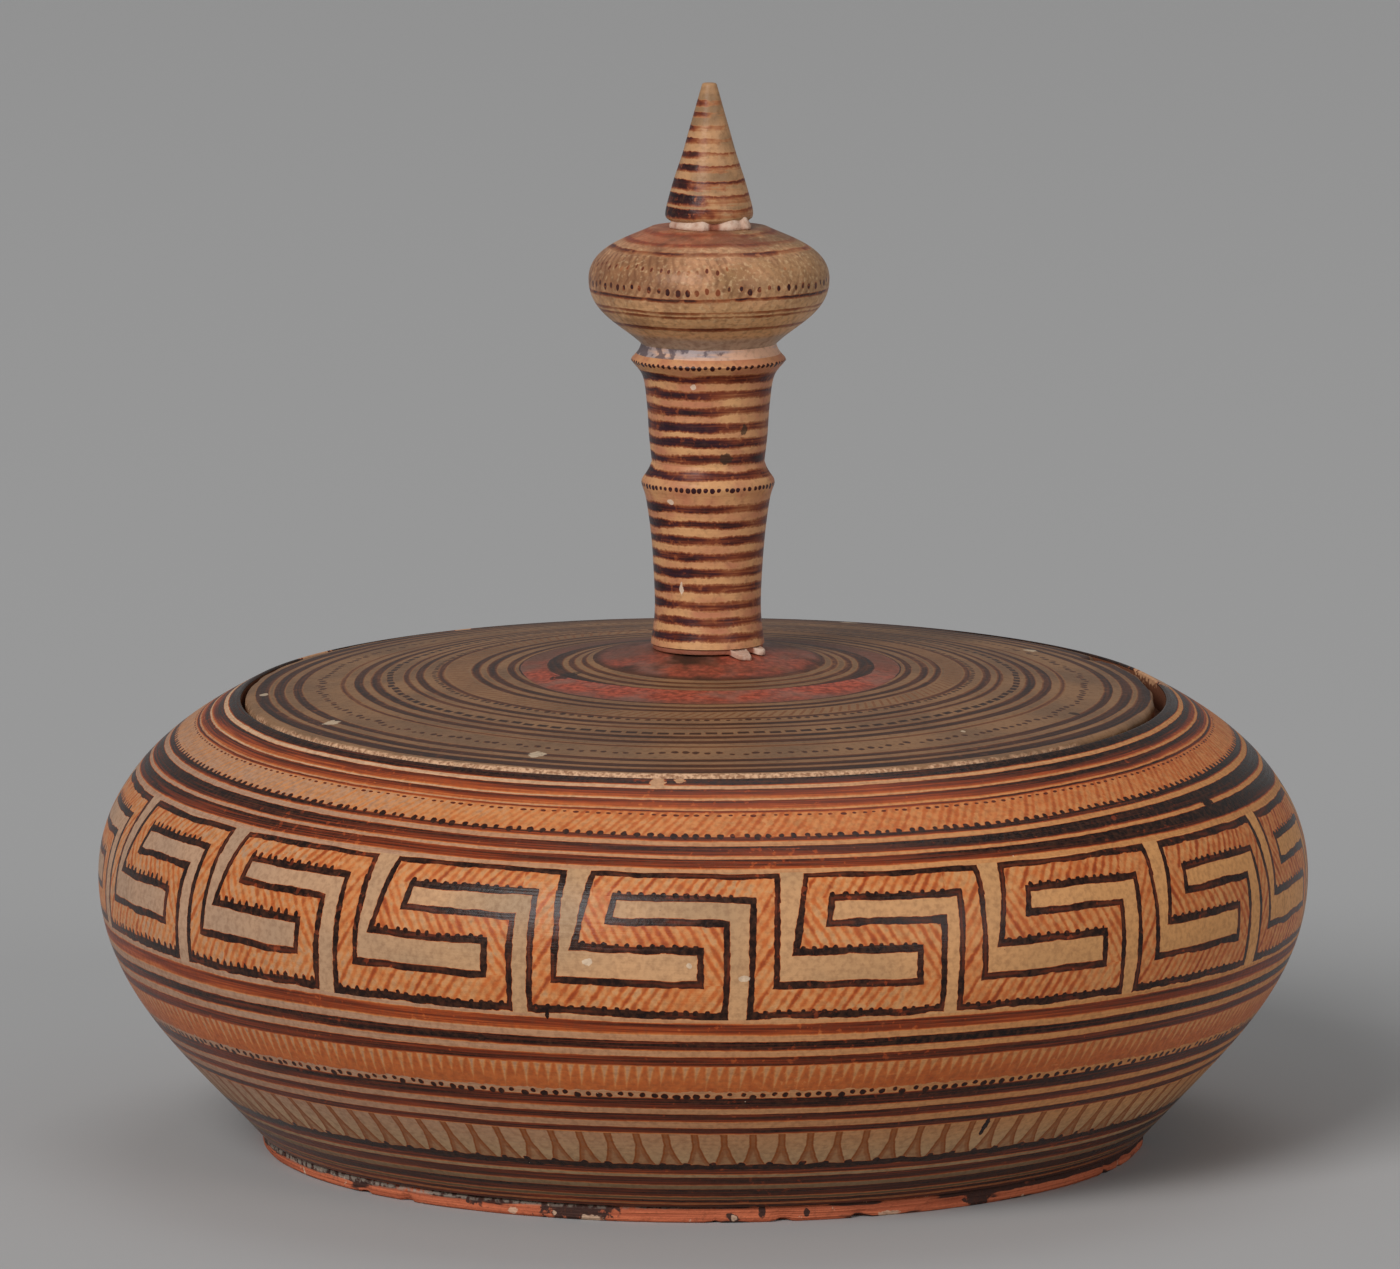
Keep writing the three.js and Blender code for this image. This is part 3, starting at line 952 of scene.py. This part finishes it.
# The lower stem: thrown hollow, pale slip with dark rings painted on it, swelling up to the
# mid collar with its row of dots.
stem_waist_radius = 11.4
mid_collar_radius = 14.3
lower_stem_height = 38.9
mid_collar_below = 4.5
upper_waist_radius = 12.1
lower_stem_foot = stem_fill_height + stem_fill + seam
lower_stem_top = lower_stem_foot + lower_stem_height
mid_collar = lower_stem_top - mid_collar_below
lower_stem_end = lower_stem_top + seam / 2


def flowing(steps, *points):
    """A smooth outline through a few points of a turned stem."""
    path = []
    for i, (here, after) in enumerate(zip(points, points[1:])):
        before = points[max(i - 1, 0)]
        beyond = points[min(i + 2, len(points) - 1)]
        leave = [a + (c - b) / 6 for a, b, c in zip(here, before, after)]
        arrive = [a - (c - b) / 6 for a, b, c in zip(after, here, beyond)]
        path += curve(here, leave, arrive, after, steps)[:-1]
    return [*path, points[-1]]


stem_bore = 6.5
lower_wall_line = flowing(
    9,
    (stem_foot_radius, stem_foot),
    (stem_waist_radius, lower_stem_foot + 0.2 * lower_stem_height),
    (stem_waist_radius + 0.2 * (mid_collar_radius - stem_waist_radius), mid_collar - 14),
    (mid_collar_radius - 1.1, mid_collar - 4),
    (mid_collar_radius - 0.15, mid_collar - 0.6),
)
lower_stem_outline = laid_out(
    (stem_bore, stem_foot),
    3,
    *lower_wall_line,
    (mid_collar_radius, mid_collar),
    (mid_collar_radius - 0.1, mid_collar + 0.7),
    (mid_collar_radius - 0.5, mid_collar + 1.4),
    *flowing(
        5,
        (mid_collar_radius - 0.9, mid_collar + 1.9),
        (upper_waist_radius + 0.5, lower_stem_top - 1.2),
        (upper_waist_radius, lower_stem_end),
    ),
    3,
    (stem_bore, lower_stem_end),
    10,
    (stem_bore, stem_foot),
)


def settled(shape, size, swell):
    """The small unevenness that throwing leaves in a slim piece, and its place on the lid."""
    for vertex, x, y, z, radius in points(shape):
        scale = 1
        if radius > stem_bore + 0.5:
            scale = (radius - swell * (uneven(x, y, z, size) - 0.4)) / radius
        vertex.co = Vector((x * scale + aside(z), y * scale, z)) * MM
    return shape


stripe_pitch = 3.49
stripe_start = 110.1
mid_dots = 142.2
top_dots = 168.6
knob_slip = [
    (0.1, 178, 122, 82),
    (0.3, 152, 88, 54),
    (0.48, 124, 60, 38),
    (0.64, 90, 40, 30),
    (0.8, 56, 28, 28),
    (1, 34, 20, 24),
]
stem = Finish("painted_knob_slip", 12)
turn = stem.turn
side = stem.x / 12
fine = stem.streaks(10, 0.4, 3)
patchy = stem.mottle(7, 2)
height = stem.z + stem.drift(9, 1, 1.1) + stem.drift(0.7, 4, 0.9)
stripe = ((height - stripe_start) / stripe_pitch + 0.5).share() - 0.5
half_width = 0.86 + stem.drift(8, 1, 1.1)
stripes = 1 - (abs(stripe) * stripe_pitch - half_width).rise(-0.45, 0.45)
clear_collar = abs(stem.z - 141.9).rise(1.9, 2.3)
below_top = stem.z < 167
foot_line = stem.z > 108.6
stripes = stripes * clear_collar * below_top * foot_line
darkness = 0.64 + (patchy - 0.5) * 0.9 - side * 0.14 + (fine - 0.5) * 0.9
collar_dots = stem.dots(64, stem.z - mid_dots, 0.6, 1.4, 0.2)
collar_dots = collar_dots.most(stem.dots(72, stem.z - top_dots, 0.56, 1.4, 0.2))
neck = (stem.z > 170.2) * (stem.z < 175.5)
paint = (stripes * darkness.most(0.25)).most(collar_dots * 0.85)
paint = paint * (1 - stem.mottle(1.3, 3).rise(0.58, 0.7) * 0.35)
ground = stem.mottled(9, (214, 160, 110), (192, 126, 92))
neck_streaks = stem.streaks(7, 1.1, 3)
neck_rubbed = (neck_streaks + side * 0.16).rise(0.36, 0.62)
neck_worn = stem.blend(neck_rubbed, tint(168, 156, 156), tint(226, 180, 150))
neck_dark = (stem.mottle(2.4, 3) - side * 0.14).rise(0.57, 0.67)
neck_worn = neck_worn.coated(neck_dark * 0.85, 70, 70, 82)
ground = stem.blend(neck * 0.9, ground, neck_worn)
colour = stem.slip(paint, ground, knob_slip)
purple = (stem.mottle(5, 2) - side * 0.1).rise(0.46, 0.62) * paint.rise(0.4, 0.7)
colour = colour.coated(purple * 0.5, 50, 28, 42)
stem_chips = [(-33, 138.8, 140, 1.8), (-25, 119, 122, 1.3), (-9, 163.5, 165, 1.2)]
pale_specks = stem.specks(5, 0.26, 0.5).most(stem.marks(stem.z, stem_chips))
colour = colour.coated(pale_specks * 0.8, 232, 208, 184)
spots = stem.marks(stem.z, [(22, 147.4, 150, 3.2), (40, 153.4, 156.2, 1.7)])
colour = colour.coated(spots * 0.8, 54, 44, 34)
dirt = stem.mottle(1.1, 3)
colour = colour.coated(dirt.rise(0.45, 0.8) * 0.3, 96, 64, 46)
gloss = 0.44 - paint * 0.1 + (dirt - 0.5) * 0.2
relief = dirt * 0.6 + fine * 0.4
knob_material = stem.complete(colour, gloss, relief, 0.15)
lower_stem_shape = settled(thrown(lower_stem_outline, 128), 14, 0.3)
finished("lower_stem", lower_stem_shape, "lid", knob_material)

# The upper stem: thrown as a second length and luted on at the mid collar, with a sharp top
# collar under the bulb, a row of dots on its edge and a worn, bluish neck.
upper_stem_height = 25
top_collar_radius = 16.6
top_collar_below = 3.4
neck_radius = 14.5
upper_stem_foot = lower_stem_top + seam
upper_stem_top = upper_stem_foot + upper_stem_height
upper_stem_end = upper_stem_top + seam / 2
top_collar = upper_stem_top - top_collar_below
upper_stem_outline = laid_out(
    (stem_bore, lower_stem_end),
    3,
    *flowing(
        8,
        (upper_waist_radius, lower_stem_end),
        (upper_waist_radius + 0.6, upper_stem_foot + 0.22 * upper_stem_height),
        (upper_waist_radius + 1, top_collar - 9.5),
        (top_collar_radius - 2.6, top_collar - 3.6),
        (top_collar_radius - 0.4, top_collar - 0.5),
    ),
    (top_collar_radius, top_collar),
    (top_collar_radius - 0.2, top_collar + 0.5),
    *flowing(
        5,
        (top_collar_radius - 0.7, top_collar + 1),
        (neck_radius + 0.5, upper_stem_top - 1.2),
        (neck_radius, upper_stem_end),
    ),
    3,
    (stem_bore, upper_stem_end),
    8,
    (stem_bore, lower_stem_end),
)
upper_stem_shape = settled(thrown(upper_stem_outline, 128), 14, 0.3)
finished("upper_stem", upper_stem_shape, "lid", knob_material)

# The bulb: thrown hollow, with red and brown rings on top, a herringbone of faint strokes and
# two rows of dots round its widest part.
bulb_radius = 25.7
bulb_height = 24.7
bulb_widest = 13.7
bulb_top_radius = 12.5
bulb_wall = 5
bulb_hollow_radius = 12
tenon_radius = 4
tenon_room = 0.5
bulb_foot = upper_stem_top + seam
bulb_top = bulb_foot + bulb_height
bulb_spread = bulb_radius - neck_radius
widest = (bulb_radius, bulb_foot + bulb_widest)
bulb_mouth = tenon_radius + tenon_room
bulb_outline = laid_out(
    (stem_bore, upper_stem_end),
    3,
    *curve(
        (neck_radius, upper_stem_end),
        (neck_radius + 0.36 * bulb_spread, bulb_foot + 0.29 * bulb_widest),
        (bulb_radius, bulb_foot + 0.47 * bulb_widest),
        widest,
        26,
    )[:-1],
    *curve(
        widest,
        (bulb_radius, bulb_foot + bulb_widest + 0.61 * (bulb_height - bulb_widest)),
        (bulb_top_radius + 0.39 * (bulb_radius - bulb_top_radius), bulb_top - 2.5),
        (bulb_top_radius, bulb_top),
        26,
    ),
    4,
    (bulb_mouth, bulb_top),
    *flowing(
        5,
        (bulb_mouth, bulb_top - bulb_wall),
        (bulb_hollow_radius - 1, bulb_foot + bulb_widest + 3),
        (bulb_hollow_radius, bulb_foot + bulb_widest - 2),
        (stem_bore, bulb_foot + bulb_wall),
    ),
    (stem_bore, upper_stem_end),
)
bulb = Finish("painted_bulb_slip", bulb_radius)
turn = bulb.turn
side = bulb.x / bulb_radius
level = bulb.z + bulb.drift(12, 1, 0.8) + bulb.drift(1.4, 2, 0.35)
fine = bulb.streaks(10, 0.45, 3)
bulb_rings = [
    (177, 177.6, 0.6, 0.6),
    (180, 180.4, 0.46, 0.46),
    (181, 181.4, 0.46, 0.46),
    (183.8, 184.4, 0.84, 0.84),
    (192.9, 193.5, 0.6, 0.76),
    (194.7, 195.1, 0.7, 0.76),
    (196.4, 196.8, 0.6, 0.7),
    (198.2, 199, 0.8, 0.86),
    (199.5, 199.8, 0.5, 0.5),
]
paint = bulb.rings(level, 174, 200, bulb_rings)
broken = (bulb.mottle(7, 2) - side * 0.1).rise(0.4, 0.54)
paint = paint * (0.25 + broken * 0.6 + fine * 0.3)
faded = (bulb.mottle(9, 2) - side * 0.08).rise(0.42, 0.56)
dots = bulb.dots(72, level - 186.1, 0.54, 2.2, 0.9, tall=1.5) * (0.42 + broken * 0.4)
dots = dots.most(bulb.dots(72, level - 190.2, 0.42, 2.2, 0.9, tall=1.3) * faded * 0.6)
bone = abs(level - 188.2)
strokes = abs((turn * 76 + bone * 0.26).share() - 0.5) + bulb.drift(2, 2, 0.4)
bones = (1 - strokes.rise(0.08, 0.3)) * (bone < 4.4) * faded
paint = paint.most(dots)
paint = paint * (1 - bulb.mottle(1.5, 3).rise(0.56, 0.7) * 0.6)
ground = bulb.mottled(14, (204, 150, 110), (158, 112, 78))
ground = ground.coated((side * 0.4 + bulb.mottle(6, 3)).rise(0.5, 0.8) * 0.5, 148, 118, 78)
low_neck = 1 - level.rise(174.2, 175.6)
# Painted light: the ground is made lighter towards the bulb's underside, against the shade that falls
# there.
ground = ground.coated((1 - level.rise(178, 187)) * 0.9, 228, 178, 126)
ground = ground.coated(bones * 0.5, 112, 70, 46)
# Painted highlights: fine pale flecks stand for glints on the glossy bulb.
ground = ground.coated(bulb.mottle(0.9, 3).rise(0.52, 0.7) * 0.5, 222, 186, 142)
ground = ground.coated(low_neck * 0.6, 150, 142, 136)
colour = bulb.slip(paint, ground, knob_slip)
red_top = level.rise(193.6, 195.4) * (bulb.mottle(8, 3) - side * 0.25).rise(0.34, 0.54)
colour = colour.coated(red_top * 0.62, 172, 84, 56)
brown_top = level.rise(193.6, 195.4) * (bulb.mottle(8, 3) + side * 0.25).rise(0.45, 0.65)
colour = colour.coated(brown_top * 0.5, 84, 54, 42)
colour = colour.coated(bulb.specks(5, 0.28, 0.5) * 0.8, 230, 204, 176)
dirt = bulb.mottle(1.1, 3)
colour = colour.coated(dirt.rise(0.42, 0.72) * 0.4, 112, 76, 50)
colour = colour.coated((bulb.mottle(4, 3) - side * 0.12).rise(0.5, 0.75) * 0.4, 104, 62, 46)
gloss = 0.4 - paint * 0.08 + (dirt - 0.5) * 0.25
relief = dirt * 0.9 + fine * 0.3
bulb_material = bulb.complete(colour, gloss, relief, 0.18)
bulb_shape = settled(thrown(bulb_outline, 144), 18, 0.35)
finished("knob_bulb", bulb_shape, "lid", bulb_material)

# Plaster round the tenon of the finial: white and lumpy, it shows at the front and the right of
# the cone's foot.
finial_fill = 1
finial_foot_radius = 8.8
finial_fill_foot = bulb_top
finial_foot = bulb_top + seam + finial_fill + seam
finial_lumps = [
    (-145, 26, 0.9),
    (-108, 22, 1.3),
    (-52, 30, 1.4),
    (-30, 16, 0.9),
]
finial_collar = washer(bulb_mouth, finial_foot_radius - 0.9, finial_fill_foot, finial_foot, 0.3)
finial_plaster_shape = thrown(finial_collar, 144)
squeezed = finial_plaster_shape.verts.layers.float.new("squeezed")
for vertex, x, y, z, radius in points(finial_plaster_shape):
    outer = eased(finial_foot_radius - 1.7, finial_foot_radius - 0.8, radius)
    out = squeezed_out(x, y, 0, finial_lumps)
    vertex[squeezed] = out
    rise = 1.1 * max(out - 0.8, 0) * eased(-8, 4, x)
    top = eased(finial_fill_foot + 0.5, finial_foot, z)
    out *= 1.25 - 0.5 * top
    scale = (radius + out * outer) / radius
    vertex.co = Vector((x * scale + aside(z), y * scale, z + rise * top * outer)) * MM
finished("finial_fill", finial_plaster_shape, "lid", plaster_material)

# The finial: a pointed cone with painted rings, darker on the left, set in the bulb by a tenon.
finial_radius = 9.4
finial_foot_height = 2.6
finial_tip_radius = 1.7
finial_height = 29.2
tenon_length = 5.5
finial_top = finial_foot + finial_height
finial_middle = finial_foot + finial_foot_height + 0.5 * (finial_height - finial_foot_height)
tip_rounding = finial_tip_radius * 0.4
finial_outline = laid_out(
    (0, finial_foot - tenon_length),
    3,
    (tenon_radius, finial_foot - tenon_length),
    4,
    (tenon_radius, finial_foot),
    4,
    *flowing(
        14,
        (finial_foot_radius, finial_foot),
        (finial_radius, finial_foot + finial_foot_height),
        (finial_radius * 0.57, finial_middle),
        (finial_tip_radius, finial_top - tip_rounding),
    )[:-1],
    *corner(finial_tip_radius - tip_rounding, finial_top - tip_rounding, tip_rounding, 0, 90, 4),
    (0, finial_top),
)
cone = Finish("painted_finial_slip", 6)
level = cone.z + cone.drift(7, 1, 0.9) + cone.drift(1.1, 2, 0.6)
fine = cone.streaks(6, 0.4, 3)
finial_rings = [
    (199.6, 201.7, 0.84, 0.9),
    (202.4, 204.6, 0.8, 1),
    (205.6, 207.6, 0.8, 1),
    (209.4, 210.8, 0.8, 0.96),
    (212.2, 213.4, 0.7, 0.8),
    (215.1, 216.3, 0.6, 0.8),
    (217.9, 219.1, 0.6, 0.76),
    (221, 222, 0.6, 0.7),
    (223.3, 224.5, 0.9, 0.96),
]
finial_lines = [
    # the upper edges of the rings, which go on round the right side as thin lines
    (200.9, 201.5, 0.5, 0.6),
    (203.8, 204.4, 0.6, 0.7),
    (206.9, 207.5, 0.7, 0.8),
    (210.2, 210.7, 0.6, 0.7),
    (212.8, 213.3, 0.4, 0.5),
]
paint = cone.rings(level, 198, 229, finial_rings)
side = cone.x * -1 / (cone.radius + 0.5)
bolder = (side * 0.36 + cone.mottle(4, 2)).rise(0.24, 0.8)
paint = paint * (0.1 + bolder * 0.9 + (fine - 0.5) * 0.8)
paint = paint.most(cone.rings(level, 198, 229, finial_lines) * (0.4 + fine * 0.8))
paint = paint * (1 - cone.mottle(1.2, 3).rise(0.58, 0.7) * 0.6)
ground = cone.mottled(7, (194, 146, 104), (150, 116, 84))
colour = cone.slip(paint, ground, knob_slip)
colour = colour.coated(cone.specks(4, 0.26, 0.5) * 0.85, 236, 212, 188)
dirt = cone.mottle(1, 3)
colour = colour.coated(dirt.rise(0.45, 0.8) * 0.35, 106, 72, 48)
relief = dirt * 0.8 + fine * 0.4
finial_material = cone.complete(colour, 0.42 - paint * 0.08 + (dirt - 0.5) * 0.2, relief, 0.15)
finial_shape = thrown(finial_outline, 96)
for vertex, x, y, z, radius in points(finial_shape):
    scale = 1
    if radius > tenon_radius + 0.2 or z > finial_foot + 5:
        scale = 1 - 0.035 * uneven(x, y, z, 6)
    vertex.co = Vector((x * scale + aside(z), y * scale, z)) * MM
finished("finial_cone", finial_shape, "lid", finial_material)

# The floor, the lights and the camera that look at the box
ground_mesh = bpy.data.meshes.new("pale_floor")
floor_plan = bmesh.new()
bmesh.ops.create_grid(floor_plan, x_segments=1, y_segments=1, size=30)
floor_plan.to_mesh(ground_mesh)
floor_plan.free()
floor = placed("pale_floor", ground_mesh)
floor_finish = bpy.data.materials.new("pale_floor")
floor_finish.use_nodes = True
floor_shader = floor_finish.node_tree.nodes["Principled BSDF"]
floor_shader.inputs["Base Color"].default_value = (0.45, 0.45, 0.45, 1)
floor_shader.inputs["Roughness"].default_value = 0.9
ground_mesh.materials.append(floor_finish)

photograph_width = 1400
focal_length = 10372.1  # in the same pixels
looks_down = 8.141  # degrees
camera_data = bpy.data.cameras.new("photograph_camera")
camera_data.sensor_width = 36
camera_data.lens = focal_length / photograph_width * camera_data.sensor_width
camera_data.clip_end = 100
camera = bpy.data.objects.new("photograph_camera", camera_data)
camera.location = (-0.0007, -2.2, 0.4241)
camera.rotation_euler = (math.radians(90 - looks_down), 0, 0)
bpy.context.scene.collection.objects.link(camera)
bpy.context.scene.camera = camera
bpy.context.scene.view_settings.view_transform = "Standard"

world = bpy.data.worlds.new("studio")
world.use_nodes = True
world.node_tree.nodes["Background"].inputs["Color"].default_value = (1, 1, 1, 1)
world.node_tree.nodes["Background"].inputs["Strength"].default_value = 0.21
bpy.context.scene.world = world


def lamp(name, place, size, level):
    """A soft square lamp that points at the box and lights a face turned to it to this level."""
    aim = Vector((0, 0, 0.08))
    away = Vector(place) - aim
    data = bpy.data.lights.new(name, "AREA")
    data.size = size
    data.energy = level * math.pi * math.pi * away.length_squared
    made = placed(name, data)
    made.location = place
    made.rotation_euler = away.to_track_quat("Z", "Y").to_euler()


lamp("key_lamp", (-10, -17, 13), 10, 0.68)
lamp("fill_lamp", (14, -14, 6.4), 9, 0.18)
lamp("top_lamp", (1.6, 6.4, 18), 10, 0.1)
